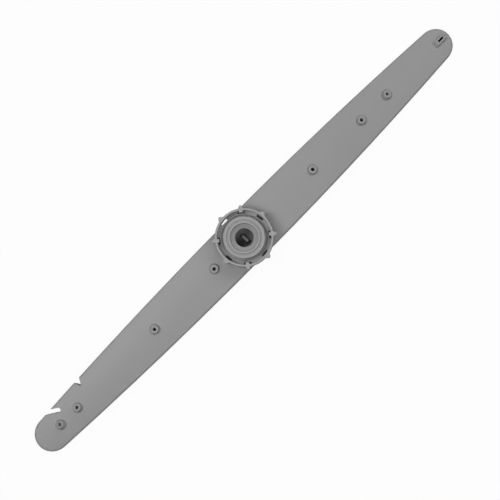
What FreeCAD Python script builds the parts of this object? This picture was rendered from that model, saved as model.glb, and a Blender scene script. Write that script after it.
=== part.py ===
import FreeCAD, Part

import math
import os

import Sketcher

# Dishwasher spray arm, hub side up. Millimetres. X runs along the arm towards the
# slot nozzle, Z is the hub's axis, and z = 0 is the crest of the arm under the hub.

doc = FreeCAD.newDocument("spray_arm")
sheet = doc.addObject("Spreadsheet::Sheet", "Sizes")

SIZES = {
    # plan outline of the arm
    "half_width": 23.5,
    "plus_tip_centre": 250.6,
    "plus_tip_radius": 15.7,
    "minus_tip_centre": 253.8,
    "minus_tip_radius": 16.4,
    # depths and walls of the two shells
    "upper_depth": 8.0,
    "lower_depth": 8.0,
    "side_wall": 2.2,
    "top_wall": 2.0,
    "floor_wall": 2.0,
    "crown_radius": 100.0,
    "crown_reach": 40.0,
    "droop_radius": 9000.0,
    "top_edge_round": 2.0,
    "bottom_edge_round": 4.0,
    "floor_round": 2.0,
    "seam_chamfer": 0.3,
    # hub seat on the upper shell
    "seat_height": 3.5,
    "seat_radius": 20.6,
    "spigot_clearance": 0.05,
    # inlet bush
    "bore_radius": 8.65,
    "spigot_wall": 2.85,
    "spigot_reach": 6.5,
    "spigot_lead": 0.9,
    "stem_radius": 17.0,
    "boss_radius": 19.2,
    "boss_height": 8.5,
    "boss_chamfer": 0.6,
    "small_chamfer": 0.3,
    "land_width": 2.9,
    "groove_width": 1.5,
    "groove_depth": 1.0,
    "seal_width": 1.9,
    "seal_rise": 0.8,
    "funnel_step": 1.8,
    "funnel_depth": 2.6,
    "bore_chamfer": 0.5,
    "core_inset": 1.2,
    "core_width": 2.8,
    "core_roof": 3.4,
    # lock ring
    "ring_running_clearance": 0.08,
    "ring_lift": 0.05,
    "lip_thickness": 1.6,
    "capture_clearance": 0.2,
    "lip_outer_radius": 20.9,
    "floor_step": 1.6,
    "floor_thickness": 1.8,
    "floor_width": 3.8,
    "rim_wall": 2.0,
    "rim_height": 7.3,
    "rim_skirt": 4.6,
    "window_rim_gap": 0.3,
    "window_depth": 2.2,
    "window_width": 6.8,
    "hook_width": 3.2,
    "hook_reach": 1.9,
    "hook_height": 2.2,
    "hook_round": 0.7,
    "lug_root": 0.7,
    "lug_reach": 2.6,
    "broad_lug_half_base": 3.6,
    "broad_lug_half_tip": 0.7,
    "slim_lug_half_base": 2.4,
    "slim_lug_half_tip": 1.0,
    "lug_tip_round": 0.45,
    "first_lug_angle": 7.1,
    # thrust washer
    "washer_clearance": 0.3,
    "washer_width": 2.9,
    "washer_thickness": 0.9,
    # flow divider under the bore
    "divider_length": 5.2,
    "divider_width": 10.0,
    "divider_height": 6.5,
    "divider_taper": 9.0,
    "divider_round": 0.8,
    # round jets
    "jet_base_radius": 4.9,
    "jet_top_radius": 3.8,
    "jet_height": 3.2,
    "jet_root": 2.4,
    "jet_hole_radius": 1.75,
    "jet_edge_round": 0.5,
    "jet_root_round": 1.1,
    # where each jet stands, how far it leans and the heading of its lean
    "outer_plus_place": 185.3,
    "outer_plus_lean": 22.0,
    "outer_plus_heading": 0.0,
    "second_plus_place": 152.2,
    "second_plus_lean": 8.0,
    "second_plus_heading": 0.0,
    "inner_plus_place": 88.4,
    "inner_plus_lean": 6.0,
    "inner_plus_heading": 0.0,
    "inner_minus_place": -39.5,
    "inner_minus_lean": 9.0,
    "inner_minus_heading": 170.0,
    "second_minus_place": -117.5,
    "second_minus_lean": 9.0,
    "second_minus_heading": 170.0,
    "third_minus_place": -219.0,
    "third_minus_lean": 15.0,
    "third_minus_heading": 130.0,
    "outer_minus_place": -241.1,
    "outer_minus_lean": 22.0,
    "outer_minus_heading": 130.0,
    # slot nozzle
    "slot_centre": 256.75,
    "slot_offset": 0.5,
    "slot_length": 6.2,
    "slot_gap": 1.9,
    "slot_margin_back": 2.0,
    "slot_margin_front": 1.4,
    "slot_block_width": 5.2,
    "slot_block_rise": 3.2,
    "slot_ramp": 3.2,
    "slot_front_draft": 0.6,
    "slot_block_round": 0.4,
    # V notch and slot notch in the edge
    "vee_x": -203.2,
    "vee_apex_y": 11.5,
    "vee_mouth_y": 18.6,
    "vee_half_mouth": 3.7,
    "vee_round": 0.8,
    "slit_x": -234.0,
    "slit_y": 11.2,
    "slit_width": 4.3,
    "slit_angle": 147.1,
    "slit_run": 24.0,
    "vee_run": 14.0,
}

for row, (alias, value) in enumerate(SIZES.items(), start=1):
    sheet.set(f"A{row}", alias)
    sheet.set(f"B{row}", str(value))
    sheet.setAlias(f"B{row}", alias)
doc.recompute()

LUG_COUNT = 8
HOOK_COUNT = 4
# the crown is swept this many times as far as the arm's longer end
CROWN_OVERRUN = 1.05
JETS = (
    "outer_plus",
    "second_plus",
    "inner_plus",
    "inner_minus",
    "second_minus",
    "third_minus",
    "outer_minus",
)

# levels that follow from the sizes above, from the underside of the arm upwards
UNDERSIDE = "(0 - upper_depth - lower_depth)"
PARTING = "(0 - upper_depth)"
CROWN_FOOT = f"({UNDERSIDE} * 2)"
LIP_BOTTOM = "(seat_height + washer_thickness + ring_lift)"
LIP_TOP = f"({LIP_BOTTOM} + lip_thickness)"
FLOOR_TOP = f"({LIP_TOP} + floor_step)"
FLOOR_BOTTOM = f"({FLOOR_TOP} - floor_thickness)"
RIM_TOP = f"({FLOOR_TOP} + rim_height)"
RIM_BOTTOM = f"({FLOOR_BOTTOM} - rim_skirt)"
BOSS_BOTTOM = f"({LIP_TOP} + capture_clearance)"
BOSS_TOP = f"({BOSS_BOTTOM} + boss_height)"
SEAL_TOP = f"({BOSS_TOP} + seal_rise)"
FUNNEL_TOP = f"({BOSS_TOP} - funnel_step)"
FUNNEL_FOOT = f"({FUNNEL_TOP} - funnel_depth)"

# radii that follow, from the hub's axis outwards
SPIGOT_RADIUS = "(bore_radius + spigot_wall)"
LAND_INNER = "(boss_radius - land_width)"
SEAL_OUTER = f"({LAND_INNER} - groove_width)"
SEAL_INNER = f"({SEAL_OUTER} - seal_width)"
CORE_INNER = f"({SPIGOT_RADIUS} + core_inset)"
CORE_OUTER = f"({CORE_INNER} + core_width)"
RIM_INNER = "(lip_outer_radius + floor_width)"
RIM_OUTER = f"({RIM_INNER} + rim_wall)"


def size(name):
    """Value of one driving size."""
    return float(sheet.get(name))


def bound(expression):
    """Expression with every size name pointed at the sheet."""
    spaced = expression.replace("(", " ( ").replace(")", " ) ").replace("-", " - ")
    words = ("Sizes." + word if word in SIZES else word for word in spaced.split())
    return " ".join(words).replace("sqrt (", "sqrt(")


def number(expression):
    """Value of an expression in driving sizes."""
    return float(sheet.evalExpression(bound(expression)))


def new_body(name):
    """Empty body for one piece or one cutting tool."""
    body = doc.addObject("PartDesign::Body", name)
    body.Label = name
    return body


def own_plane(body, role):
    """Origin plane of a body."""
    return next(item for item in body.Origin.OriginFeatures if item.Role == role)


def new_sketch(body, name, role="XY_Plane", level=None):
    """Sketch on a body's own plane, lifted to a level where one is given."""
    sketch = body.newObject("Sketcher::SketchObject", name)
    sketch.AttachmentSupport = [(own_plane(body, role), "")]
    sketch.MapMode = "FlatFace"
    if level is not None:
        sketch.setExpression("AttachmentOffset.Base.z", bound(level))
    return sketch


def fix_point(sketch, geometry, vertex, across, up):
    """Tie one vertex of a sketch to two expressions."""
    for kind, expression in (("DistanceX", across), ("DistanceY", up)):
        index = sketch.addConstraint(
            Sketcher.Constraint(kind, -1, 1, geometry, vertex, number(expression))
        )
        sketch.setExpression(f"Constraints[{index}]", bound(expression))


def fix_radius(sketch, geometry, radius):
    """Tie the radius of an arc or circle to an expression."""
    index = sketch.addConstraint(Sketcher.Constraint("Radius", geometry, number(radius)))
    sketch.setExpression(f"Constraints[{index}]", bound(radius))


def add_loop(sketch, corners):
    """Closed loop of straight lines through corners given as expressions."""
    places = [FreeCAD.Vector(number(across), number(up), 0) for across, up in corners]
    lines = []
    for index, place in enumerate(places):
        following = places[(index + 1) % len(places)]
        lines.append(sketch.addGeometry(Part.LineSegment(place, following)))
    for index, line in enumerate(lines):
        following = lines[(index + 1) % len(lines)]
        sketch.addConstraint(Sketcher.Constraint("Coincident", line, 2, following, 1))
    for line, (across, up) in zip(lines, corners):
        fix_point(sketch, line, 1, across, up)
    return lines


def add_circle(sketch, across, up, radius):
    """Circle with its centre and radius tied to expressions."""
    centre = FreeCAD.Vector(number(across), number(up), 0)
    circle = Part.Circle(centre, FreeCAD.Vector(0, 0, 1), number(radius))
    index = sketch.addGeometry(circle)
    fix_point(sketch, index, 3, across, up)
    fix_radius(sketch, index, radius)
    return index


def pad(body, name, sketch, length, downwards=False):
    """Pad a sketch by a length given as an expression."""
    feature = body.newObject("PartDesign::Pad", name)
    feature.Profile = sketch
    feature.Reversed = downwards
    feature.setExpression("Length", bound(length))
    return feature


def pocket_through(body, name, sketch):
    """Cut a sketch through the whole body, both ways."""
    feature = body.newObject("PartDesign::Pocket", name)
    feature.Profile = sketch
    feature.Midplane = True
    feature.Type = 1
    return feature


def revolve(body, name, sketch, feature_type="PartDesign::Revolution"):
    """Turn a profile fully around the hub's axis."""
    feature = body.newObject(feature_type, name)
    feature.Profile = sketch
    feature.ReferenceAxis = (sketch, ["V_Axis"])
    feature.Angle = 360
    return feature


def combine(body, name, tool, kind):
    """Keep the common part with a tool body, or cut the tool body away."""
    feature = body.newObject("PartDesign::Boolean", name)
    feature.Type = kind
    feature.setObjects([tool])
    return feature


def side_radius(tip_centre, tip_radius):
    """Radius of the long side arc that runs into a tip arc without a corner."""
    half = size("half_width")
    return (tip_centre ** 2 + half ** 2 - tip_radius ** 2) / (2 * (half - tip_radius))


def outline_sketch(body, name, level, inset="0"):
    """Plan outline: four long side arcs and two tip arcs, moved inwards by inset."""
    sketch = new_sketch(body, name, level=level)
    gap = number(inset)
    crest = size("half_width") - gap
    normal = FreeCAD.Vector(0, 0, 1)
    tips = []
    for sign, end in ((1, "plus"), (-1, "minus")):
        centre_x = sign * size(f"{end}_tip_centre")
        radius = size(f"{end}_tip_radius")
        long_radius = side_radius(abs(centre_x), radius)
        lean = math.asin(abs(centre_x) / (long_radius - radius))
        start = -math.pi / 2 + lean if sign > 0 else math.pi / 2 + lean
        sweep = math.pi - 2 * lean
        circle = Part.Circle(FreeCAD.Vector(centre_x, 0, 0), normal, radius - gap)
        tip = sketch.addGeometry(Part.ArcOfCircle(circle, start, start + sweep))
        side = long_radius - gap
        sides = []
        for up in (1, -1):
            centre_y = -up * (side - crest)
            ring = Part.Circle(FreeCAD.Vector(0, centre_y, 0), normal, side)
            middle = up * math.pi / 2
            turn = -sign * up * lean
            first, last = sorted((middle, middle + turn))
            sides.append(sketch.addGeometry(Part.ArcOfCircle(ring, first, last)))
        tips.append((sign, end, tip, sides))
    for sign, end, tip, (upper, lower) in tips:
        centre = f"{end}_tip_centre" if sign > 0 else f"-1 * {end}_tip_centre"
        fix_point(sketch, tip, 3, centre, "0")
        fix_radius(sketch, tip, f"{end}_tip_radius - {inset}")
        upper_outer, lower_outer = (1, 2) if sign > 0 else (2, 1)
        tip_upper, tip_lower = (2, 1) if sign > 0 else (1, 2)
        joints = ((upper, upper_outer, tip_upper), (lower, lower_outer, tip_lower))
        for arc, arc_end, tip_end in joints:
            sketch.addConstraint(Sketcher.Constraint("Tangent", arc, arc_end, tip, tip_end))
            sketch.addConstraint(Sketcher.Constraint("PointOnObject", arc, 3, -2))
    plus_upper, plus_lower = tips[0][3]
    minus_upper, minus_lower = tips[1][3]
    sketch.addConstraint(Sketcher.Constraint("Coincident", plus_upper, 2, minus_upper, 1))
    sketch.addConstraint(Sketcher.Constraint("Coincident", plus_lower, 1, minus_lower, 2))
    fix_point(sketch, plus_upper, 2, "0", f"half_width - {inset}")
    fix_point(sketch, plus_lower, 1, "0", f"{inset} - half_width")
    return sketch


def crown_body(name, drop):
    """Solid under a surface that falls away to both edges and to both ends."""
    body = new_body(name)
    sketch = new_sketch(body, name + "_profile", "YZ_Plane")
    radius = number(f"crown_radius - {drop}")
    reach = size("crown_reach")
    foot = number(CROWN_FOOT)
    edge_level = math.sqrt(radius ** 2 - reach ** 2) - size("crown_radius")
    normal = FreeCAD.Vector(0, 0, 1)
    circle = Part.Circle(FreeCAD.Vector(0, -size("crown_radius"), 0), normal, radius)
    spread = math.asin(reach / radius)
    arc = Part.ArcOfCircle(circle, math.pi / 2 - spread, math.pi / 2 + spread)
    crest = sketch.addGeometry(arc)
    corners = (
        FreeCAD.Vector(-reach, edge_level, 0),
        FreeCAD.Vector(-reach, foot, 0),
        FreeCAD.Vector(reach, foot, 0),
        FreeCAD.Vector(reach, edge_level, 0),
    )
    lines = [
        sketch.addGeometry(Part.LineSegment(first, last))
        for first, last in zip(corners, corners[1:])
    ]
    chain = ((crest, 2), (lines[0], 1)), ((lines[0], 2), (lines[1], 1))
    chain += ((lines[1], 2), (lines[2], 1)), ((lines[2], 2), (crest, 1))
    for (first, first_end), (last, last_end) in chain:
        sketch.addConstraint(
            Sketcher.Constraint("Coincident", first, first_end, last, last_end)
        )
    fix_point(sketch, crest, 3, "0", "-1 * crown_radius")
    fix_radius(sketch, crest, f"crown_radius - {drop}")
    fix_point(sketch, lines[1], 1, "-1 * crown_reach", CROWN_FOOT)
    fix_point(sketch, lines[1], 2, "crown_reach", CROWN_FOOT)
    sketch.addConstraint(Sketcher.Constraint("Vertical", lines[0]))
    sketch.addConstraint(Sketcher.Constraint("Vertical", lines[2]))
    low = -size("droop_radius")
    axis = Part.LineSegment(FreeCAD.Vector(-reach, low, 0), FreeCAD.Vector(reach, low, 0))
    pivot = sketch.addGeometry(axis, True)
    fix_point(sketch, pivot, 1, "-1 * crown_reach", "-1 * droop_radius")
    fix_point(sketch, pivot, 2, "crown_reach", "-1 * droop_radius")
    turn = body.newObject("PartDesign::Revolution", name + "_sweep")
    turn.Profile = sketch
    turn.ReferenceAxis = (sketch, ["Axis0"])
    turn.Midplane = True
    longest = max(number(f"{end}_tip_centre + {end}_tip_radius") for end in ("plus", "minus"))
    turn.Angle = 2 * math.degrees(math.asin(CROWN_OVERRUN * longest / size("droop_radius")))
    return body


def cut_edge_notches(body, label, grow="0"):
    """Cut the V notch and the slot notch, made wider all round by grow."""
    wide = number(grow)
    cosine = math.cos(math.radians(size("slit_angle")))
    sine = math.sin(math.radians(size("slit_angle")))
    rise = size("vee_mouth_y") - size("vee_apex_y")
    slope = size("vee_half_mouth") / rise
    back = round(wide * math.sqrt(1 + slope ** 2) / slope, 4)
    across = f"vee_half_mouth * (vee_run + {back}) / (vee_mouth_y - vee_apex_y)"
    vee = new_sketch(body, label + "_vee")
    apex_y = f"vee_apex_y - {back}"
    far_y = "vee_apex_y + vee_run"
    corners = (
        ("vee_x", apex_y),
        (f"vee_x + {across}", far_y),
        (f"vee_x - {across}", far_y),
    )
    add_loop(vee, corners)
    vee_cut = pocket_through(body, label + "_vee_cut", vee)
    half = f"(slit_width / 2 + {grow})"
    run = new_sketch(body, label + "_slit")
    side_x = f"{half} * {round(sine, 6)}"
    side_y = f"{half} * {round(-cosine, 6)}"
    run_x = f"slit_run * {round(cosine, 6)}"
    run_y = f"slit_run * {round(sine, 6)}"
    corners = (
        (f"slit_x + {side_x}", f"slit_y + {side_y}"),
        (f"slit_x + {side_x} + {run_x}", f"slit_y + {side_y} + {run_y}"),
        (f"slit_x - {side_x} + {run_x}", f"slit_y - {side_y} + {run_y}"),
        (f"slit_x - {side_x}", f"slit_y - {side_y}"),
    )
    add_loop(run, corners)
    pocket_through(body, label + "_slit_cut", run)
    end = new_sketch(body, label + "_slit_end")
    add_circle(end, "slit_x", "slit_y", half)
    pocket_through(body, label + "_slit_end_cut", end)
    return vee_cut


def round_edges(body, name, picked, radius):
    """Fillet the edges that a test picks from the body's present shape."""
    doc.recompute()
    base = body.Tip
    edges = [
        f"Edge{index}"
        for index, edge in enumerate(base.Shape.Edges, start=1)
        if picked(edge)
    ]
    feature = body.newObject("PartDesign::Fillet", name)
    feature.Base = (base, edges)
    feature.setExpression("Radius", bound(radius))
    doc.recompute()
    return feature


def chamfer_seam(body, name):
    """Break the outer edge at the parting line, so that the closed seam shows as a groove."""
    doc.recompute()
    base = body.Tip
    level = number(PARTING)
    slack = size("seam_chamfer") / 10
    edges = [
        f"Edge{index}"
        for index, edge in enumerate(base.Shape.Edges, start=1)
        if abs(edge.BoundBox.Center.z - level) < slack and edge.BoundBox.ZLength < slack
    ]
    feature = body.newObject("PartDesign::Chamfer", name)
    feature.Base = (base, edges)
    feature.setExpression("Size", bound("seam_chamfer"))
    doc.recompute()
    return feature


def cavity_body(name, level, height):
    """Water space inside one shell, inside the walls all round."""
    body = new_body(name)
    outline = outline_sketch(body, name + "_outline", level, "side_wall")
    pad(body, name + "_block", outline, height)
    return body


def arm_surface(place):
    """Expression for the level of the arm's crest at a place along the arm."""
    return f"(sqrt( droop_radius ^ 2 - {place} ^ 2 ) - droop_radius)"


def jet_feature(body, kind, jet, depth):
    """Cone or cylinder along one jet's axis, started at a depth below the surface."""
    feature = body.newObject(kind, f"{jet}_{kind[-8:].lower()}")
    feature.AttachmentSupport = [(own_plane(body, "XY_Plane"), "")]
    feature.MapMode = "FlatFace"
    heading = math.radians(size(f"{jet}_heading"))
    lean = size(f"{jet}_lean")
    axis = FreeCAD.Vector(-math.sin(heading), math.cos(heading), 0)
    turn = FreeCAD.Rotation(axis, lean)
    along = turn.multVec(FreeCAD.Vector(0, 0, 1))
    place = f"{jet}_place"
    starts = (
        ("x", place, along.x),
        ("y", "0", along.y),
        ("z", arm_surface(place), along.z),
    )
    base = FreeCAD.Vector(*(number(f"{start} - {depth} * {part:.6f}") for _, start, part in starts))
    feature.AttachmentOffset = FreeCAD.Placement(base, turn)
    for letter, start, part in starts:
        shift = bound(f"{start} - {depth} * {part:.6f}")
        feature.setExpression(f"AttachmentOffset.Base.{letter}", shift)
    return feature


def near_vee_apex(edge):
    """True for the upright edge at the V notch's apex."""
    box = edge.BoundBox
    slack = size("side_wall") / 10
    upright = box.XLength < slack and box.YLength < slack and box.ZLength > slack
    near = abs(box.Center.x - size("vee_x")) < slack
    return upright and near and abs(box.Center.y - size("vee_apex_y")) < slack


# upper shell
upper = new_body("upper_shell")
outline = outline_sketch(upper, "upper_outline", PARTING)
pad(upper, "upper_block", outline, "upper_depth * 1.5")
chamfer_seam(upper, "upper_seam")
combine(upper, "upper_crown", crown_body("crown", "0"), "Common")


def on_top_outline(edge):
    """True for the edges where the crown meets the side wall."""
    long_enough = edge.Length > size("half_width") / 2
    return long_enough and edge.BoundBox.ZMin > number(f"{PARTING} + top_edge_round / 4")


round_edges(upper, "upper_edge_round", on_top_outline, "top_edge_round")

seat = new_sketch(upper, "seat_circle", level="seat_height")
add_circle(seat, "0", "0", "seat_radius")
pad(upper, "seat", seat, "seat_height + upper_depth / 2", downwards=True)

upper_cavity = cavity_body("upper_cavity", PARTING, "upper_depth")
combine(upper_cavity, "upper_cavity_crown", crown_body("cavity_crown", "top_wall"), "Common")
cut_edge_notches(upper_cavity, "upper_guard", "side_wall")
combine(upper, "upper_hollow", upper_cavity, "Cut")
cut_edge_notches(upper, "upper_notch")
round_edges(upper, "upper_vee_round", near_vee_apex, "vee_round")

spigot_hole = new_sketch(upper, "spigot_hole_circle")
add_circle(spigot_hole, "0", "0", f"{SPIGOT_RADIUS} + spigot_clearance")
pocket_through(upper, "spigot_hole", spigot_hole)

for jet in JETS:
    boss = jet_feature(upper, "PartDesign::AdditiveCone", jet, "jet_root")
    boss.setExpression("Radius1", bound("jet_base_radius"))
    boss.setExpression("Radius2", bound("jet_top_radius"))
    boss.setExpression("Height", bound("jet_root + jet_height"))


def on_jet_root(edge):
    """True for the closed edges where the jets' bosses leave the arm's top face."""
    box = edge.BoundBox
    if not 2 * size("jet_top_radius") < box.YLength < 2 * size("jet_base_radius"):
        return False
    slack = size("jet_base_radius") / 4
    for jet in JETS:
        level = number(arm_surface(f"{jet}_place"))
        beside = abs(box.Center.x - size(f"{jet}_place")) < slack
        if beside and abs(box.Center.z - level) < slack:
            return True
    return False


round_edges(upper, "jet_root_rounds", on_jet_root, "jet_root_round")

BLOCK_TOP = f"({arm_surface('slot_centre')} + slot_block_rise)"
BLOCK_FOOT = f"({arm_surface('slot_centre')} - top_wall / 2)"
BLOCK_BACK = "(slot_centre - slot_length / 2 - slot_margin_back)"
BLOCK_FRONT = "(slot_centre + slot_length / 2 + slot_margin_front)"
slot_side = new_sketch(upper, "slot_block_side", "XZ_Plane")
slot_side.setExpression("AttachmentOffset.Base.z", bound("0 - slot_offset"))
add_loop(
    slot_side,
    (
        (f"{BLOCK_BACK} - slot_ramp", BLOCK_FOOT),
        (f"{BLOCK_BACK} - slot_ramp", arm_surface("slot_centre")),
        (BLOCK_BACK, BLOCK_TOP),
        (BLOCK_FRONT, BLOCK_TOP),
        (f"{BLOCK_FRONT} + slot_front_draft", BLOCK_FOOT),
    ),
)
slot_block = pad(upper, "slot_block", slot_side, "slot_block_width")
slot_block.Midplane = True

for jet in JETS:
    hole = jet_feature(upper, "PartDesign::SubtractiveCylinder", jet, "3 * jet_root")
    hole.setExpression("Radius", bound("jet_hole_radius"))
    hole.setExpression("Height", bound("jet_root * 3 + jet_height * 2"))

slot_mouth = new_sketch(upper, "slot_mouth", level=BLOCK_TOP)
add_loop(
    slot_mouth,
    (
        ("slot_centre - slot_length / 2", "slot_offset - slot_gap / 2"),
        ("slot_centre + slot_length / 2", "slot_offset - slot_gap / 2"),
        ("slot_centre + slot_length / 2", "slot_offset + slot_gap / 2"),
        ("slot_centre - slot_length / 2", "slot_offset + slot_gap / 2"),
    ),
)
slot_cut = upper.newObject("PartDesign::Pocket", "slot_opening")
slot_cut.Profile = slot_mouth
slot_cut.setExpression("Length", bound("slot_block_rise + top_wall * 2"))


def on_jet_top(edge):
    """True for the outer rim of a jet's boss."""
    curve = edge.Curve
    is_circle = curve.TypeId == "Part::GeomCircle"
    return is_circle and abs(curve.Radius - size("jet_top_radius")) < 1e-4


def on_slot_block_top(edge):
    """True for the edges round the flat top of the slot nozzle's block."""
    box = edge.BoundBox
    at_top = abs(box.ZMin - number(BLOCK_TOP)) < 1e-3 and box.ZLength < 1e-3
    reach = size("slot_block_width") / 2
    off_middle = abs(box.Center.y - size("slot_offset")) > reach - 1e-3
    middle = size("slot_centre")
    ends = abs(box.Center.x - middle) > size("slot_length") / 2 + 1e-3
    return at_top and box.XMin > middle / 2 and (off_middle or ends)


round_edges(upper, "jet_rounds", on_jet_top, "jet_edge_round")
round_edges(upper, "slot_block_rounds", on_slot_block_top, "slot_block_round")

# lower shell
lower = new_body("lower_shell")
outline = outline_sketch(lower, "lower_outline", UNDERSIDE)
pad(lower, "lower_block", outline, "lower_depth")
chamfer_seam(lower, "lower_seam")


def on_bottom_outline(edge):
    """True for the edges around the flat underside."""
    return edge.BoundBox.ZMax < number(UNDERSIDE) + 0.01


round_edges(lower, "lower_edge_round", on_bottom_outline, "bottom_edge_round")

lower_cavity = cavity_body("lower_cavity", f"{UNDERSIDE} + floor_wall", "lower_depth")


def on_cavity_floor(edge):
    """True for the edges around the cavity's floor."""
    return edge.BoundBox.ZMax < number(f"{UNDERSIDE} + floor_wall") + 0.01


round_edges(lower_cavity, "lower_cavity_round", on_cavity_floor, "floor_round")
cut_edge_notches(lower_cavity, "lower_guard", "side_wall")
combine(lower, "lower_hollow", lower_cavity, "Cut")
cut_edge_notches(lower, "lower_notch")
round_edges(lower, "lower_vee_round", near_vee_apex, "vee_round")

divider = new_sketch(lower, "divider_foot", level=f"{UNDERSIDE} + floor_wall / 2")
add_loop(
    divider,
    (
        ("0 - divider_length / 2", "0 - divider_width / 2"),
        ("divider_length / 2", "0 - divider_width / 2"),
        ("divider_length / 2", "divider_width / 2"),
        ("0 - divider_length / 2", "divider_width / 2"),
    ),
)
divider_pad = pad(lower, "divider", divider, "divider_height + floor_wall / 2")
divider_pad.setExpression("TaperAngle", bound("0 - divider_taper"))


def on_divider(edge):
    """True for the divider's slanted corners and the edges of its flat top."""
    box = edge.BoundBox
    inside = box.XMax < size("divider_length") / 2 and box.YMax < size("divider_width") / 2
    return inside and box.XMin > -size("divider_length") / 2 and box.ZMax > number(
        f"{UNDERSIDE} + floor_wall + divider_height / 2"
    )


round_edges(lower, "divider_rounds", on_divider, "divider_round")

# inlet bush
bush = new_body("hub_bush")
bush_profile = new_sketch(bush, "bush_profile", "XZ_Plane")
add_loop(
    bush_profile,
    (
        ("bore_radius", "0 - spigot_reach"),
        (f"{SPIGOT_RADIUS} - bore_chamfer", "0 - spigot_reach"),
        (SPIGOT_RADIUS, "spigot_lead - spigot_reach"),
        (SPIGOT_RADIUS, "seat_height"),
        (CORE_INNER, "seat_height"),
        (CORE_INNER, f"{BOSS_TOP} - core_roof"),
        (CORE_OUTER, f"{BOSS_TOP} - core_roof"),
        (CORE_OUTER, "seat_height"),
        ("stem_radius", "seat_height"),
        ("stem_radius", BOSS_BOTTOM),
        ("boss_radius - small_chamfer", BOSS_BOTTOM),
        ("boss_radius", f"{BOSS_BOTTOM} + small_chamfer"),
        ("boss_radius", f"{BOSS_TOP} - boss_chamfer"),
        ("boss_radius - boss_chamfer", BOSS_TOP),
        (f"{LAND_INNER} + small_chamfer", BOSS_TOP),
        (LAND_INNER, f"{BOSS_TOP} - small_chamfer"),
        (LAND_INNER, f"{BOSS_TOP} - groove_depth"),
        (SEAL_OUTER, f"{BOSS_TOP} - groove_depth"),
        (SEAL_OUTER, f"{SEAL_TOP} - small_chamfer"),
        (f"{SEAL_OUTER} - small_chamfer", SEAL_TOP),
        (f"{SEAL_INNER} + small_chamfer", SEAL_TOP),
        (SEAL_INNER, f"{SEAL_TOP} - small_chamfer"),
        (f"{SEAL_INNER} - small_chamfer", FUNNEL_TOP),
        ("bore_radius + bore_chamfer", FUNNEL_FOOT),
        ("bore_radius", f"{FUNNEL_FOOT} - bore_chamfer"),
    ),
)
revolve(bush, "bush_turned", bush_profile)

# lock ring
ring = new_body("lock_ring")
ring_profile = new_sketch(ring, "ring_profile", "XZ_Plane")
RING_BORE = "(stem_radius + ring_running_clearance)"
add_loop(
    ring_profile,
    (
        (RING_BORE, LIP_BOTTOM),
        ("lip_outer_radius - small_chamfer", LIP_BOTTOM),
        ("lip_outer_radius - small_chamfer", FLOOR_BOTTOM),
        (RIM_INNER, FLOOR_BOTTOM),
        (RIM_INNER, RIM_BOTTOM),
        (f"{RIM_OUTER} - small_chamfer", RIM_BOTTOM),
        (RIM_OUTER, f"{RIM_BOTTOM} + small_chamfer"),
        (RIM_OUTER, f"{RIM_TOP} - small_chamfer"),
        (f"{RIM_OUTER} - small_chamfer", RIM_TOP),
        (f"{RIM_INNER} + small_chamfer", RIM_TOP),
        (RIM_INNER, f"{RIM_TOP} - small_chamfer"),
        (RIM_INNER, FLOOR_TOP),
        ("lip_outer_radius + small_chamfer", FLOOR_TOP),
        ("lip_outer_radius", f"{FLOOR_TOP} - small_chamfer"),
        ("lip_outer_radius", LIP_TOP),
        (RING_BORE, LIP_TOP),
    ),
)
revolve(ring, "ring_turned", ring_profile)


def polar(body, name, feature, count):
    """Repeat one feature evenly around the hub's axis."""
    pattern = body.newObject("PartDesign::PolarPattern", name)
    pattern.Originals = [feature]
    pattern.Axis = (feature.Profile[0], ["N_Axis"])
    pattern.Angle = 360
    pattern.Occurrences = count
    body.Tip = pattern
    return pattern


def turned_corner(radius, side, angle):
    """Corner at a radius and a sideways step, turned by an angle in degrees."""
    cosine = round(math.cos(math.radians(angle)), 8)
    sine = round(math.sin(math.radians(angle)), 8)
    across = f"({radius}) * ( {cosine} ) - ({side}) * ( {sine} )"
    up = f"({radius}) * ( {sine} ) + ({side}) * ( {cosine} )"
    return across, up


def turned_loop(sketch, corners, angle):
    """Closed loop whose corners are given as radius and sideways step."""
    add_loop(sketch, [turned_corner(radius, side, angle) for radius, side in corners])


plain_angle = size("first_lug_angle")
hook_angle = plain_angle + 360 / LUG_COUNT

WINDOW_OUTER = f"({RIM_INNER} - window_rim_gap)"
WINDOW_INNER = f"({WINDOW_OUTER} - window_depth)"
window = new_sketch(ring, "window_shape", level=f"{FLOOR_TOP} + small_chamfer")
window_corners = (
    (WINDOW_INNER, "0 - window_width / 2"),
    (WINDOW_OUTER, "0 - window_width / 2"),
    (WINDOW_OUTER, "window_width / 2"),
    (WINDOW_INNER, "window_width / 2"),
)
turned_loop(window, window_corners, plain_angle)
window_cut = ring.newObject("PartDesign::Pocket", "window_cut")
window_cut.Profile = window
window_cut.setExpression("Length", bound("floor_thickness + small_chamfer * 2"))
polar(ring, "windows", window_cut, LUG_COUNT)

for kind, angle in (("broad", plain_angle), ("slim", hook_angle)):
    lug = new_sketch(ring, f"{kind}_lug_shape", level=f"{RIM_BOTTOM} + small_chamfer")
    lug_corners = (
        (f"{RIM_OUTER} - lug_root", f"0 - {kind}_lug_half_base"),
        (f"{RIM_OUTER} + lug_reach", f"0 - {kind}_lug_half_tip"),
        (f"{RIM_OUTER} + lug_reach", f"{kind}_lug_half_tip"),
        (f"{RIM_OUTER} - lug_root", f"{kind}_lug_half_base"),
    )
    turned_loop(lug, lug_corners, angle)
    lug_height = f"{RIM_TOP} - {RIM_BOTTOM} - small_chamfer"
    lug_pad = pad(ring, f"{kind}_lug", lug, lug_height)
    polar(ring, f"{kind}_lugs", lug_pad, HOOK_COUNT)

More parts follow.
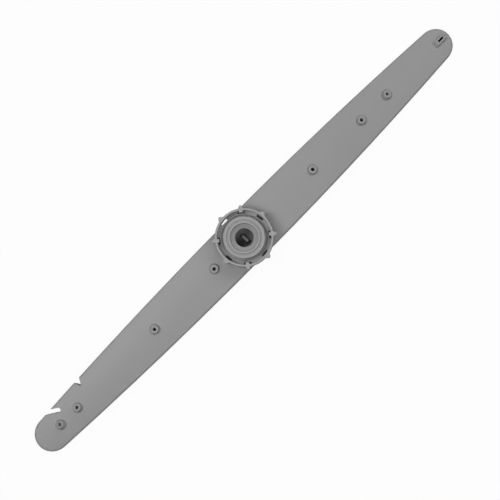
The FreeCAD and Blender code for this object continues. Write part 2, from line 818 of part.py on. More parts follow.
hook = new_sketch(ring, "hook_shape", level=RIM_TOP)
hook_corners = (
    (f"{RIM_INNER} - hook_reach", "0 - hook_width / 2"),
    (f"{RIM_INNER} + rim_wall / 2", "0 - hook_width / 2"),
    (f"{RIM_INNER} + rim_wall / 2", "hook_width / 2"),
    (f"{RIM_INNER} - hook_reach", "hook_width / 2"),
)
turned_loop(hook, hook_corners, hook_angle)
hook_pad = pad(ring, "hook", hook, "hook_height", downwards=True)
polar(ring, "hooks", hook_pad, HOOK_COUNT)


def upright_at(radius):
    """Test for short upright edges whose distance from the axis is about radius."""
    wanted = number(radius)

    def picked(edge):
        box = edge.BoundBox
        slack = size("small_chamfer") / 2
        upright = box.XLength < slack and box.YLength < slack and box.ZLength > slack
        return upright and abs(math.hypot(box.Center.x, box.Center.y) - wanted) < slack

    return picked


round_edges(
    ring, "lug_tip_rounds", upright_at(f"{RIM_OUTER} + lug_reach"), "lug_tip_round"
)
round_edges(
    ring, "hook_tip_rounds", upright_at(f"{RIM_INNER} - hook_reach"), "hook_round"
)

# thrust washer
washer = new_body("thrust_washer")
washer_profile = new_sketch(washer, "washer_profile", "XZ_Plane")
WASHER_BORE = "(stem_radius + washer_clearance)"
add_loop(
    washer_profile,
    (
        (WASHER_BORE, "seat_height"),
        (f"{WASHER_BORE} + washer_width", "seat_height"),
        (f"{WASHER_BORE} + washer_width", "seat_height + washer_thickness"),
        (WASHER_BORE, "seat_height + washer_thickness"),
    ),
)
revolve(washer, "washer_turned", washer_profile)

doc.recompute()

NODES = (upper, lower, bush, ring, washer)

for item in doc.Objects:
    if "Invalid" in item.State or "Error" in item.State:
        raise RuntimeError(f"{item.Label} did not build: {item.State}")

os.makedirs("parts", exist_ok=True)
for node in NODES:
    shape = node.Shape
    if shape.isNull() or not shape.isValid() or len(shape.Solids) != 1:
        raise RuntimeError(f"{node.Label} is not one valid solid")
    shape.exportStep(f"parts/{node.Label}.step")
    print(node.Label, round(shape.Volume, 1))
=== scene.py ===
"""Dishwasher spray arm: the dressed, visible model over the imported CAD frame.

Lengths are in metres where nothing else is said.
"""

import logging
import math
from dataclasses import dataclass, field
from enum import Enum

import bpy
from mathutils import Matrix, Vector


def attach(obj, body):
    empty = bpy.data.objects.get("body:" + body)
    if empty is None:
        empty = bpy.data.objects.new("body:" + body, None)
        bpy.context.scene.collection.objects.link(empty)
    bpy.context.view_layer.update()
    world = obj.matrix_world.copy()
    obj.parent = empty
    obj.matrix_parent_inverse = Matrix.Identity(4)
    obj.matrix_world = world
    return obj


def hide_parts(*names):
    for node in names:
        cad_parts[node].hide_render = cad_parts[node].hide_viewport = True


LOG = logging.getLogger("spray_arm")
MM = 0.001
WELD_DISTANCE = 0.001 * MM

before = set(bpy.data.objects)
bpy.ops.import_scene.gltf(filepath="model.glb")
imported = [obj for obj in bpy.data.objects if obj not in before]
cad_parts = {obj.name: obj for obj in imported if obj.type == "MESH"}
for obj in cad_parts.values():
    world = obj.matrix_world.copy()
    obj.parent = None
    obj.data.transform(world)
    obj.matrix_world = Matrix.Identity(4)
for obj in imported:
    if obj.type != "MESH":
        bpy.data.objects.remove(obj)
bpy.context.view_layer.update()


class Body(Enum):
    """The two bodies of the arm that pieces ride on."""

    ARM = "arm"
    RING = "lock_ring"


def deselect_all() -> None:
    """Leave nothing selected before an operator acts."""
    if bpy.context.object and bpy.context.object.mode != "OBJECT":
        bpy.ops.object.mode_set(mode="OBJECT")
    bpy.ops.object.select_all(action="DESELECT")


def make_active(piece: bpy.types.Object) -> None:
    """Select one piece alone and make it the active one.

    Args:
        piece: The piece to select.
    """
    deselect_all()
    piece.select_set(True)
    bpy.context.view_layer.objects.active = piece


def settle(piece: bpy.types.Object) -> None:
    """Put a piece's place, turn and scale into its mesh."""
    make_active(piece)
    bpy.ops.object.transform_apply(location=True, rotation=True, scale=True)


def merged_copy(node: str, name: str, smooth_below: float = 30.0) -> bpy.types.Object:
    """Copy a CAD node as one welded skin with smooth curves and crisp moulded edges.

    Args:
        node: Name of the CAD node to copy.
        name: Name of the new piece.
        smooth_below: Angle between faces, in degrees, up to which they shade as one.

    Returns:
        The new piece.
    """
    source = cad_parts[node]
    piece = bpy.data.objects.new(name, source.data.copy())
    bpy.context.scene.collection.objects.link(piece)
    piece.data.materials.clear()
    make_active(piece)
    bpy.ops.mesh.customdata_custom_splitnormals_clear()
    bpy.ops.object.mode_set(mode="EDIT")
    bpy.ops.mesh.select_all(action="SELECT")
    bpy.ops.mesh.remove_doubles(threshold=WELD_DISTANCE)
    bpy.ops.object.mode_set(mode="OBJECT")
    bpy.ops.object.shade_smooth_by_angle(angle=math.radians(smooth_below))
    bpy.ops.object.modifier_add(type="WEIGHTED_NORMAL")
    weighting = piece.modifiers[-1]
    weighting.keep_sharp = True
    bpy.ops.object.modifier_apply(modifier=weighting.name)
    return piece


def duplicate(piece: bpy.types.Object) -> bpy.types.Object:
    """Copy a piece together with its mesh.

    Args:
        piece: The piece to copy.

    Returns:
        The copy, with a mesh of its own.
    """
    twin = piece.copy()
    twin.data = piece.data.copy()
    bpy.context.scene.collection.objects.link(twin)
    return twin


def join(pieces: list[bpy.types.Object], name: str) -> bpy.types.Object:
    """Join pieces into one object.

    Args:
        pieces: The objects to join.
        name: Name of the joined piece.

    Returns:
        The joined piece.
    """
    deselect_all()
    for piece in pieces:
        piece.select_set(True)
    bpy.context.view_layer.objects.active = pieces[0]
    bpy.ops.object.join()
    joined = bpy.context.object
    joined.name = name
    return joined


def spread(
    pattern: bpy.types.Object, places: list[Matrix], name: str
) -> bpy.types.Object:
    """Copy a pattern to every place and join the copies.

    Args:
        pattern: The piece to copy, which goes once it has been copied.
        places: Where each copy stands.
        name: Name of the joined piece.

    Returns:
        The joined copies.
    """
    copies = []
    for place in places:
        twin = duplicate(pattern)
        twin.matrix_world = place
        settle(twin)
        copies.append(twin)
    bpy.data.objects.remove(pattern)
    return join(copies, name)


def finish_skin(piece: bpy.types.Object, smooth_below: float) -> None:
    """Turn a modelled piece's faces outwards and smooth it.

    Args:
        piece: The piece to finish.
        smooth_below: Angle between faces, in degrees, up to which they shade as one.
    """
    make_active(piece)
    bpy.ops.object.mode_set(mode="EDIT")
    bpy.ops.mesh.select_all(action="SELECT")
    bpy.ops.mesh.normals_make_consistent(inside=False)
    bpy.ops.object.mode_set(mode="OBJECT")
    bpy.ops.object.shade_smooth_by_angle(angle=math.radians(smooth_below))


def turned_ring(rings: tuple[tuple[float, float], ...], steps: int) -> bpy.types.Object:
    """Turn a closed profile round the upright axis at the origin.

    Args:
        rings: Radius and height of each ring, in order round the profile.
        steps: Number of sides of each ring.

    Returns:
        The closed ring, still unfinished.
    """
    (radius, height), *others = rings
    deselect_all()
    bpy.ops.mesh.primitive_circle_add(vertices=steps, radius=radius, location=(0, 0, height))
    piece = bpy.context.object
    settle(piece)
    bpy.ops.object.mode_set(mode="EDIT")
    bpy.ops.mesh.select_all(action="SELECT")
    for next_radius, next_height in others:
        rise = (0, 0, next_height - height)
        bpy.ops.mesh.extrude_edges_move(TRANSFORM_OT_translate={"value": rise})
        grow = next_radius / radius
        centre = (0, 0, next_height)
        bpy.ops.transform.resize(value=(grow, grow, 1), center_override=centre)
        radius, height = next_radius, next_height
    bpy.ops.mesh.select_all(action="DESELECT")
    bpy.ops.mesh.select_mode(type="EDGE")
    bpy.ops.mesh.select_non_manifold()
    bpy.ops.mesh.bridge_edge_loops()
    bpy.ops.object.mode_set(mode="OBJECT")
    return piece


@dataclass(frozen=True)
class MouldedPlastic:
    """Moulded plastic with a fine spark-eroded grain.

    Attributes:
        name: Name of the finish.
        colour: Base colour, linear RGB.
        mottle: Share by which the colour drifts over the surface.
        roughness: Roughness that the low and high values are set from.
        rough_below: How far the roughness falls below it.
        rough_above: How far the roughness rises above it.
        specular: Strength of the surface's plain reflection.
        drift_scale: Noise scale of the slow drift, per metre.
        drift_detail: Octaves of the slow drift.
        speck_scale: Noise scale of the fine specks, per metre.
        speck_detail: Octaves of the fine specks.
        speck_share: Share of the specks in the colour's drift.
        grain_size: Size of the mould grain, in metres.
        grain_detail: Octaves of the grain.
        grain_depth: Bump distance of the grain, in metres.
        grain_strength: Bump strength of the grain.
        flow_depth: Bump distance of the slow sink and flow waves, in metres.
        flow_strength: Bump strength of the waves.
    """

    name: str
    colour: tuple[float, float, float]
    mottle: float = 0.05
    roughness: float = 0.46
    rough_below: float = 0.05
    rough_above: float = 0.07
    specular: float = 0.4
    drift_scale: float = 18.0
    drift_detail: float = 3.0
    speck_scale: float = 900.0
    speck_detail: float = 2.0
    speck_share: float = 0.35
    grain_size: float = 0.4 * MM
    grain_detail: float = 1.0
    grain_depth: float = 0.03 * MM
    grain_strength: float = 0.5
    flow_depth: float = 0.2 * MM
    flow_strength: float = 0.6

    def build(self) -> bpy.types.Material:
        """Make the node material.

        Returns:
            The finished material.
        """
        material = bpy.data.materials.new(self.name)
        material.use_nodes = True
        tree = material.node_tree
        place = tree.nodes.new("ShaderNodeTexCoord")
        drift = self._noise(tree, place, self.drift_scale, self.drift_detail)
        speck = self._noise(tree, place, self.speck_scale, self.speck_detail)
        grain = self._noise(tree, place, 1 / self.grain_size, self.grain_detail)
        fine = self._bump(tree, grain, self.grain_strength, self.grain_depth)
        waves = self._bump(tree, drift, self.flow_strength, self.flow_depth)
        tree.links.new(fine.outputs["Normal"], waves.inputs["Normal"])
        shader = tree.nodes["Principled BSDF"]
        shader.inputs["Specular IOR Level"].default_value = self.specular
        tree.links.new(self._tone(tree, drift, speck), shader.inputs["Base Color"])
        tree.links.new(self._polish(tree, drift), shader.inputs["Roughness"])
        tree.links.new(waves.outputs["Normal"], shader.inputs["Normal"])
        return material

    def _tone(
        self,
        tree: bpy.types.NodeTree,
        drift: bpy.types.NodeSocket,
        speck: bpy.types.NodeSocket,
    ) -> bpy.types.NodeSocket:
        """Let the colour drift slowly, with fine specks.

        Args:
            tree: Node tree of the material.
            drift: Value of the slow noise.
            speck: Value of the fine noise.

        Returns:
            The colour's socket.
        """
        share = tree.nodes.new("ShaderNodeMath")
        share.operation = "MULTIPLY"
        share.inputs[1].default_value = 1 - self.speck_share
        tree.links.new(drift, share.inputs[0])
        blend = tree.nodes.new("ShaderNodeMath")
        blend.operation = "MULTIPLY_ADD"
        blend.inputs[1].default_value = self.speck_share
        tree.links.new(speck, blend.inputs[0])
        tree.links.new(share.outputs[0], blend.inputs[2])
        tone = tree.nodes.new("ShaderNodeMix")
        tone.data_type = "RGBA"
        low = [channel * (1 - self.mottle) for channel in self.colour]
        high = [channel * (1 + self.mottle) for channel in self.colour]
        tone.inputs["A"].default_value = (*low, 1)
        tone.inputs["B"].default_value = (*high, 1)
        tree.links.new(blend.outputs[0], tone.inputs["Factor"])
        return tone.outputs["Result"]

    def _polish(
        self, tree: bpy.types.NodeTree, drift: bpy.types.NodeSocket
    ) -> bpy.types.NodeSocket:
        """Let the roughness follow the slow noise.

        Args:
            tree: Node tree of the material.
            drift: Value of the slow noise.

        Returns:
            The roughness's socket.
        """
        rough = tree.nodes.new("ShaderNodeMapRange")
        rough.inputs["To Min"].default_value = self.roughness - self.rough_below
        rough.inputs["To Max"].default_value = self.roughness + self.rough_above
        tree.links.new(drift, rough.inputs["Value"])
        return rough.outputs["Result"]

    @staticmethod
    def _noise(
        tree: bpy.types.NodeTree, place: bpy.types.Node, scale: float, detail: float
    ) -> bpy.types.NodeSocket:
        """Make noise over the piece's own coordinates.

        Args:
            tree: Node tree of the material.
            place: Texture coordinate node.
            scale: Noise scale, per metre.
            detail: Octaves of the noise.

        Returns:
            The noise value's socket.
        """
        noise = tree.nodes.new("ShaderNodeTexNoise")
        noise.inputs["Scale"].default_value = scale
        noise.inputs["Detail"].default_value = detail
        tree.links.new(place.outputs["Object"], noise.inputs["Vector"])
        return noise.outputs[0]

    @staticmethod
    def _bump(
        tree: bpy.types.NodeTree,
        height: bpy.types.NodeSocket,
        strength: float,
        distance: float,
    ) -> bpy.types.Node:
        """Make a bump from a height.

        Args:
            tree: Node tree of the material.
            height: Value that raises the surface.
            strength: Strength of the bump.
            distance: Bump distance, in metres.

        Returns:
            The bump node.
        """
        bump = tree.nodes.new("ShaderNodeBump")
        bump.inputs["Strength"].default_value = strength
        bump.inputs["Distance"].default_value = distance
        tree.links.new(height, bump.inputs["Height"])
        return bump


def dress(piece: bpy.types.Object, material: bpy.types.Material) -> None:
    """Give a piece one material all over."""
    piece.data.materials.clear()
    piece.data.materials.append(material)


@dataclass(frozen=True)
class Outline:
    """Plan of the arm: long side arcs that run into two round tips.

    Attributes:
        half_width: Half the arm's width at the hub.
        plus_centre: Distance from the hub to the centre of the nozzle end's tip.
        plus_radius: Radius of the nozzle end's tip.
        minus_centre: Distance from the hub to the centre of the notched end's tip.
        minus_radius: Radius of the notched end's tip.
    """

    half_width: float = 23.5 * MM
    plus_centre: float = 250.6 * MM
    plus_radius: float = 15.7 * MM
    minus_centre: float = 253.8 * MM
    minus_radius: float = 16.4 * MM

    def side_radius(self, centre: float, radius: float) -> float:
        """Radius of the side arc that meets one tip without a corner.

        Args:
            centre: Distance from the hub to the tip's centre.
            radius: Radius of the tip.

        Returns:
            The side arc's radius.
        """
        square = centre**2 + self.half_width**2 - radius**2
        return square / (2 * (self.half_width - radius))

    def lean(self, centre: float, radius: float) -> float:
        """Angle that the side arc turns between the hub and one tip.

        Args:
            centre: Distance from the hub to the tip's centre.
            radius: Radius of the tip.

        Returns:
            The angle in radians.
        """
        return math.asin(centre / (self.side_radius(centre, radius) - radius))


@dataclass
class WeldBead:
    """The fine bead that the hot-plate weld leaves in the seam between the shells.

    Attributes:
        outline: Plan of the arm.
        level: Height of the seam.
        radius: Radius of the bead.
        sunk: How far the bead's middle lies inside the side wall's face.
        vee: Where the V notch opens in the edge, along the arm.
        slit: Where the slot notch opens in the edge, along the arm.
        sides: Number of sides of the bead.
        steps_per_radian: How finely the bead is swept round a turn.
        least_steps: Fewest lengths in one arc.
        smooth_below: Angle between faces, in degrees, up to which they shade as one.
    """

    outline: Outline = Outline()
    level: float = -8.0 * MM
    radius: float = 0.24 * MM
    sunk: float = 0.16 * MM
    vee: tuple[float, float] = (-207.2 * MM, -199.2 * MM)
    slit: tuple[float, float] = (-247.0 * MM, -239.2 * MM)
    sides: int = 8
    steps_per_radian: int = 10
    least_steps: int = 4
    smooth_below: float = 60

    def build(self) -> bpy.types.Object:
        """Sweep the bead round the edge, with gaps at the two notches.

        Returns:
            The bead as one piece.
        """
        plan = self.outline
        plus_side = plan.side_radius(plan.plus_centre, plan.plus_radius)
        minus_side = plan.side_radius(plan.minus_centre, plan.minus_radius)
        plus_lean = plan.lean(plan.plus_centre, plan.plus_radius)
        minus_lean = plan.lean(plan.minus_centre, plan.minus_radius)
        plus_low = plus_side - plan.half_width
        minus_low = minus_side - plan.half_width
        vee_back, vee_front = (math.asin(-edge / minus_side) for edge in self.vee)
        slit_back, slit_front = (math.asin(-edge / minus_side) for edge in self.slit)
        round_the_arm = (
            ((0, -minus_low), vee_front),
            ((0, -plus_low), plus_lean),
            ((plan.plus_centre, 0), math.pi - 2 * plus_lean),
            ((0, plus_low), plus_lean),
            ((0, minus_low), minus_lean),
            ((-plan.minus_centre, 0), math.pi - 2 * minus_lean),
            ((0, -minus_low), minus_lean - slit_back),
        )
        between_notches = (((0, -minus_low), slit_front - vee_back),)
        long_run = self._sweep(-vee_front, minus_side, round_the_arm)
        short_run = self._sweep(-slit_front, minus_side, between_notches)
        return join([long_run, short_run], "weld_bead")

    def _sweep(
        self,
        start: float,
        side: float,
        turns: tuple[tuple[tuple[float, float], float], ...],
    ) -> bpy.types.Object:
        """Sweep a round profile clockwise through a chain of arcs.

        Args:
            start: Angle from the hub's crest at which the profile starts.
            side: Radius of the side arc on which it starts.
            turns: Centre and angle of each arc in turn.

        Returns:
            The swept piece, closed at both ends.
        """
        middle = side - self.sunk
        low = side - self.outline.half_width
        place = (middle * math.sin(start), middle * math.cos(start) - low, self.level)
        deselect_all()
        bpy.ops.mesh.primitive_circle_add(
            vertices=self.sides,
            radius=self.radius,
            fill_type="NGON",
            location=place,
            rotation=(0, math.pi / 2, -start),
        )
        piece = bpy.context.object
        settle(piece)
        bpy.ops.object.mode_set(mode="EDIT")
        bpy.ops.mesh.select_all(action="SELECT")
        for (across, along), angle in turns:
            steps = max(self.least_steps, round(angle * self.steps_per_radian))
            centre = (across, along, self.level)
            bpy.ops.mesh.spin(steps=steps, angle=angle, center=centre, axis=(0, 0, 1))
        finish_skin(piece, self.smooth_below)
        return piece


@dataclass
class CornerSkin:
    """The even rounding of the lower edge between the V notch and the hub.

    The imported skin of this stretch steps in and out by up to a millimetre, so a thin
    cap with the solid's own rounding lies over it.

    Attributes:
        outline: Plan of the arm.
        underside: Height of the flat underside.
        rounding: Radius of the lower edge.
        proud: How far the cap stands out from the solid.
        notch: Where the V notch ends, along the arm.
        steps: Number of lengths that the cap is swept in.
        sides: Number of sides of the full circle that the cap is cut from.
        smooth_below: Angle between faces, in degrees, up to which they shade as one.
    """

    outline: Outline = Outline()
    underside: float = -16.0 * MM
    rounding: float = 4.0 * MM
    proud: float = 0.015 * MM
    notch: float = -199.0 * MM
    steps: int = 20
    sides: int = 48
    smooth_below: float = 30

    def build(self) -> bpy.types.Object:
        """Sweep the cap from the notch to the hub.

        Returns:
            The cap, closed at both ends.
        """
        plan = self.outline
        side = plan.side_radius(plan.minus_centre, plan.minus_radius)
        low = side - plan.half_width
        turn = math.asin(-self.notch / side)
        outward = Vector((-math.sin(turn), math.cos(turn), 0))
        level = self.underside + self.rounding
        middle = outward * (side - self.rounding) + Vector((0, -low, level))
        slope = (outward - Vector((0, 0, 1))).normalized()
        deselect_all()
        bpy.ops.mesh.primitive_circle_add(
            vertices=self.sides,
            radius=self.rounding + self.proud,
            fill_type="NGON",
            location=middle,
            rotation=(0, math.pi / 2, turn),
        )
        piece = bpy.context.object
        piece.name = "corner_skin"
        settle(piece)
        bpy.ops.object.mode_set(mode="EDIT")
        bpy.ops.mesh.select_all(action="SELECT")
        chord = middle + slope * self.rounding * math.cos(math.pi / 4)
        bpy.ops.mesh.bisect(plane_co=chord, plane_no=slope, clear_inner=True)
        bpy.ops.mesh.select_all(action="SELECT")
        centre = (0, -low, level)
        bpy.ops.mesh.spin(steps=self.steps, angle=turn, center=centre, axis=(0, 0, 1))
        finish_skin(piece, self.smooth_below)
        return piece


@dataclass
class EjectorMarks:
    """Low witness rings that the mould's ejector pins leave on the flat underside.

    Attributes:
        places: Distance of each mark from the hub, along the arm.
        offset: Distance of the marks from the arm's middle line, by turns on each side.
        level: Height of the underside.
        rings: Radius and height from the underside of each ring of the profile.
        sides: Number of sides of each ring.
        smooth_below: Angle between faces, in degrees, up to which they shade as one.
    """

    places: tuple[float, ...] = (-214 * MM, -140 * MM, -62 * MM, 62 * MM, 140 * MM, 214 * MM)
    offset: float = 7.0 * MM
    level: float = -16.0 * MM
    rings: tuple[tuple[float, float], ...] = (
        (2.62 * MM, 0.10 * MM),
        (2.60 * MM, -0.02 * MM),
        (2.52 * MM, -0.06 * MM),
        (2.40 * MM, -0.05 * MM),
        (2.30 * MM, 0.10 * MM),
    )
    sides: int = 32
    smooth_below: float = 50

    def build(self) -> bpy.types.Object:
        """Make one mark, copy it to every place and join the lot.

        Returns:
            The marks as one piece.
        """
        pattern = turned_ring(self.rings, self.sides)
        finish_skin(pattern, self.smooth_below)
        stands = [
            Matrix.Translation((place, self.offset * (-1) ** index, self.level))
            for index, place in enumerate(self.places)
        ]
        return spread(pattern, stands, "ejector_marks")


@dataclass(frozen=True)
class Jet:
    """Where one round jet stands and how it leans.

    Attributes:
        place: Distance of the jet from the hub, along the arm.
        lean: Angle between the jet's axis and the upright, in degrees.
        heading: Direction in which the jet leans, in degrees from +X towards +Y.
    """

    place: float
    lean: float
    heading: float

    def stand(self, droop_radius: float) -> Matrix:
        """Where the jet's axis leaves the crest of the arm.

        Args:
            droop_radius: Radius in which the crest falls away towards both ends.

        Returns:
            The matrix that takes an upright jet at the origin to its place.
        """
        level = math.sqrt(droop_radius**2 - self.place**2) - droop_radius
        heading = math.radians(self.heading)
        hinge = Vector((-math.sin(heading), math.cos(heading), 0))
        turn = Matrix.Rotation(math.radians(self.lean), 4, hinge)
        return Matrix.Translation((self.place, 0, level)) @ turn


@dataclass
class JetTips:
    """The turned tips of the seven round jets, with their rounded rims and drilled holes.

    Attributes:
        jets: The jets in turn, from the slot nozzle's end to the notched end.
        droop_radius: Radius in which the arm's crest falls away towards both ends.
        rings: Radius and height above the arm's crest of each ring of the profile.
        sides: Number of sides of each ring.
        smooth_below: Angle between faces, in degrees, up to which they shade as one.
    """

    jets: tuple[Jet, ...] = (
        Jet(185.3 * MM, 22, 0),
        Jet(152.2 * MM, 8, 0),
        Jet(88.4 * MM, 6, 0),
        Jet(-39.5 * MM, 9, 170),
        Jet(-117.5 * MM, 9, 170),
        Jet(-219.0 * MM, 15, 130),
        Jet(-241.1 * MM, 22, 130),
    )
    droop_radius: float = 9000 * MM
    rings: tuple[tuple[float, float], ...] = (
        (4.42 * MM, -1.50 * MM),
        (4.69 * MM, -1.20 * MM),
        (3.90 * MM, 2.76 * MM),
        (3.84 * MM, 2.96 * MM),
        (3.71 * MM, 3.12 * MM),
        (3.52 * MM, 3.21 * MM),
        (3.32 * MM, 3.22 * MM),
        (1.90 * MM, 3.22 * MM),
        (1.72 * MM, 3.17 * MM),
        (1.65 * MM, 3.04 * MM),
        (1.65 * MM, -1.50 * MM),
    )
    sides: int = 48
    smooth_below: float = 35

    def build(self) -> bpy.types.Object:
        """Turn one tip, copy it to every jet and join the lot.

        Returns:
            The tips as one piece.
        """
        pattern = turned_ring(self.rings, self.sides)
        finish_skin(pattern, self.smooth_below)
        stands = [jet.stand(self.droop_radius) for jet in self.jets]
        return spread(pattern, stands, "jet_tips")


@dataclass
class ArmShells:
    """The welded pair of shells that make the hollow arm, with all that trims them.

    Attributes:
        tips: The turned tips of the jets.
        bead: The weld bead in the seam.
        corner: The even rounding of one stretch of the lower edge.
        marks: The ejector marks on the underside.
        finish: The arm's finish.
        pieces: The dressed pieces, filled by build.
    """

    tips: JetTips = field(default_factory=JetTips)
    bead: WeldBead = field(default_factory=WeldBead)
    corner: CornerSkin = field(default_factory=CornerSkin)
    marks: EjectorMarks = field(default_factory=EjectorMarks)
    finish: MouldedPlastic = MouldedPlastic("arm_grey", (0.285, 0.285, 0.287))
    pieces: list[bpy.types.Object] = field(default_factory=list)

    def build(self) -> list[bpy.types.Object]:
        """Make both shells, the jets' tips, the bead, the corner's skin and the marks.

        Returns:
            The dressed pieces.
        """
        material = self.finish.build()
        for node, name in (("upper_shell", "top_half"), ("lower_shell", "bottom_half")):
            piece = merged_copy(node, name)
            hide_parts(node)
            self._finish(piece, material)
        for trim in (self.tips, self.bead, self.corner, self.marks):
            self._finish(trim.build(), material)
        return self.pieces

    def _finish(self, piece: bpy.types.Object, material: bpy.types.Material) -> None:
        """Dress one piece and let it ride on the arm.

        Args:
            piece: The piece to dress.
            material: The arm's material.
        """
        dress(piece, material)
        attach(piece, Body.ARM.value)
        self.pieces.append(piece)


@dataclass
class Hub:
    """The inlet bush with its washer, and the lock ring that turns on it.

    Attributes:
        bush_finish: Finish of the inlet bush.
        ring_finish: Finish of the lock ring.
        washer_finish: Finish of the washer under the ring.
        pieces: The dressed pieces, filled by build.
    """

    bush_finish: MouldedPlastic = MouldedPlastic("hub_grey", (0.325, 0.325, 0.327))
    ring_finish: MouldedPlastic = MouldedPlastic("ring_grey", (0.325, 0.325, 0.327))
    washer_finish: MouldedPlastic = MouldedPlastic(
        "washer_natural", (0.55, 0.55, 0.52), roughness=0.35
    )
    pieces: list[bpy.types.Object] = field(default_factory=list)

    def build(self) -> list[bpy.types.Object]:
        """Make the bush, ring and washer.

        Returns:
            The dressed pieces.
        """
        self._add("hub_bush", "inlet_bush", Body.ARM, self.bush_finish)
        self._add("lock_ring", "turning_ring", Body.RING, self.ring_finish)
        self._add(
            "thrust_washer", "slide_washer", Body.ARM, self.washer_finish
        )
        return self.pieces

    def _add(
        self, node: str, name: str, body: Body, finish: MouldedPlastic
    ) -> None:
        """Make one piece over its CAD node and dress it.

        Args:
            node: Name of the CAD node that the piece replaces.
            name: Name of the piece.
            body: Body that the piece rides on.
            finish: Finish of the piece.
        """
        piece = merged_copy(node, name)
        dress(piece, finish.build())
        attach(piece, body.value)
        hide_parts(node)
        self.pieces.append(piece)


@dataclass(frozen=True)
class Lamp:
    """One square soft box that faces the hub.

    Attributes:
        name: Name of the lamp.
        azimuth: Direction from the hub in degrees, from +X towards +Y.
        elevation: Height above the floor in degrees.
        power: Power in watts.
        distance: Distance from the hub in metres.
        width: Side of the soft box in metres.
    """

    name: str
    azimuth: float
    elevation: float
    power: float
    distance: float = 1.1
    width: float = 0.5

    def place(self) -> Vector:
        """Work out where the lamp stands.

        Returns:
            The lamp's place.
        """
        flat = math.cos(math.radians(self.elevation))
        turn = math.radians(self.azimuth)
        rise = math.sin(math.radians(self.elevation))
        return Vector((flat * math.cos(turn), flat * math.sin(turn), rise)) * self.distance

    def build(self) -> None:
        """Add the lamp to the scene."""
        deselect_all()
        bpy.ops.object.light_add(type="AREA", location=self.place())
        lamp = bpy.context.object
        lamp.name = self.name
        lamp.data.size = self.width
        lamp.data.energy = self.power
        lamp.rotation_euler = (-self.place()).to_track_quat("-Z", "Y").to_euler()


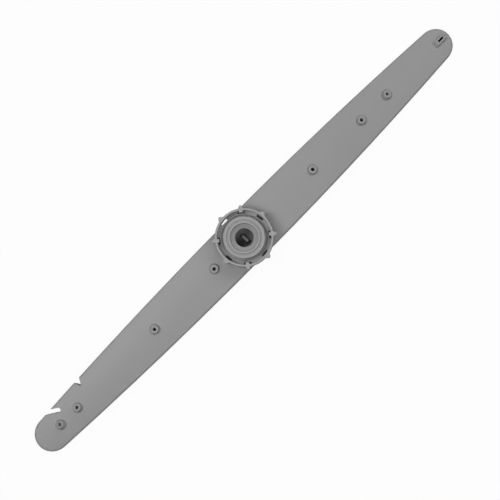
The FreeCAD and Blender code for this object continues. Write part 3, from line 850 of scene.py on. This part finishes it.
@dataclass
class Studio:
    """White floor, six soft boxes and the camera that looks down on the arm.

    Attributes:
        field_width: Width of the picture at the distance of the arm.
        distance: Distance of the camera from what it aims at.
        arm_level: Height of what the camera aims at.
        aim: Place of what the camera aims at.
        tilt: Angle of the view from the plumb line, in radians.
        roll: Turn of the picture about the view, in radians.
        sensor: Width of the camera's sensor, in millimetres.
        near_clip: Nearest distance that the camera shows.
        floor_level: Height of the floor, just clear of the ejector marks.
        floor_width: Side of the floor.
        floor_colour: Colour of the floor under the lamps, linear RGB.
        floor_roughness: Roughness of the floor.
        whiteness: Share of plain white in what the camera sees of the floor.
        world_strength: Strength of the even light from all round.
        lamps: The soft boxes.
    """

    field_width: float = 0.4625
    distance: float = 1.05
    arm_level: float = -0.007
    aim: tuple[float, float] = (-0.0044, -0.0106)
    tilt: float = math.radians(3.35)
    roll: float = math.radians(45.39)
    sensor: float = 36.0
    near_clip: float = 0.01
    floor_level: float = -0.0161
    floor_width: float = 6.0
    floor_colour: tuple[float, float, float] = (0.6, 0.6, 0.6)
    floor_roughness: float = 0.9
    whiteness: float = 0.96
    world_strength: float = 0.01
    lamps: tuple[Lamp, ...] = (
        Lamp("over_notches", 135, 60, 4.99),
        Lamp("beside_nozzle", 0, 45, 3.04),
        Lamp("in_front", 270, 60, 2.97),
        Lamp("behind", 90, 60, 1.35),
        Lamp("over_nozzle", 45, 45, 1.19),
        Lamp("front_left", 225, 60, 1.10),
    )

    def build(self) -> None:
        """Make the floor, lamps, world and camera."""
        self._floor()
        self._world()
        for lamp in self.lamps:
            lamp.build()
        self._camera()

    def _floor(self) -> None:
        """Make a wide pale floor that stays white to the camera."""
        deselect_all()
        place = (0, 0, self.floor_level)
        bpy.ops.mesh.primitive_plane_add(size=self.floor_width, location=place)
        floor = bpy.context.object
        floor.name = "studio_floor"
        settle(floor)
        dress(floor, self._pale_finish())

    def _pale_finish(self) -> bpy.types.Material:
        """Mix a lit floor with plain white in what the camera sees of it.

        Returns:
            The floor's material.
        """
        material = bpy.data.materials.new("pale_floor")
        material.use_nodes = True
        nodes, links = material.node_tree.nodes, material.node_tree.links
        shader = nodes["Principled BSDF"]
        shader.inputs["Base Color"].default_value = (*self.floor_colour, 1)
        shader.inputs["Roughness"].default_value = self.floor_roughness
        white = nodes.new("ShaderNodeEmission")
        white.inputs["Strength"].default_value = 1.0
        path = nodes.new("ShaderNodeLightPath")
        share = nodes.new("ShaderNodeMath")
        share.operation = "MULTIPLY"
        share.inputs[1].default_value = self.whiteness
        links.new(path.outputs["Is Camera Ray"], share.inputs[0])
        mix = nodes.new("ShaderNodeMixShader")
        links.new(share.outputs[0], mix.inputs["Fac"])
        links.new(shader.outputs[0], mix.inputs[1])
        links.new(white.outputs[0], mix.inputs[2])
        links.new(mix.outputs[0], nodes["Material Output"].inputs["Surface"])
        return material

    def _world(self) -> None:
        """Light the surroundings evenly."""
        world = bpy.data.worlds.new("studio_world")
        bpy.context.scene.world = world
        world.use_nodes = True
        background = world.node_tree.nodes["Background"]
        background.inputs["Color"].default_value = (1, 1, 1, 1)
        background.inputs["Strength"].default_value = self.world_strength

    def _camera(self) -> None:
        """Place the camera above the arm, rolled so that the arm lies on the diagonal."""
        target = Vector((self.aim[0], self.aim[1], self.arm_level))
        back = Vector((0, -math.sin(self.tilt), math.cos(self.tilt)))
        right = Vector((math.cos(self.roll), -math.sin(self.roll), 0))
        right = (right - right.dot(back) * back).normalized()
        up = back.cross(right)
        place = target + back * self.distance
        turn = Matrix((right, up, back)).transposed().to_4x4()
        deselect_all()
        bpy.ops.object.camera_add()
        camera = bpy.context.object
        camera.name = "photo_camera"
        camera.matrix_world = Matrix.Translation(place) @ turn
        camera.data.sensor_width = self.sensor
        camera.data.lens = self.sensor * self.distance / self.field_width
        camera.data.clip_start = self.near_clip
        bpy.context.scene.camera = camera


def main() -> None:
    """Build the sub-assemblies in order and report each piece."""
    logging.basicConfig(level=logging.INFO, format="%(name)s %(message)s")
    bpy.context.scene.view_settings.view_transform = "Standard"
    for assembly in (ArmShells(), Hub()):
        for piece in assembly.build():
            LOG.info("%s: %d faces", piece.name, len(piece.data.polygons))
    Studio().build()


if __name__ == "__main__":
    main()
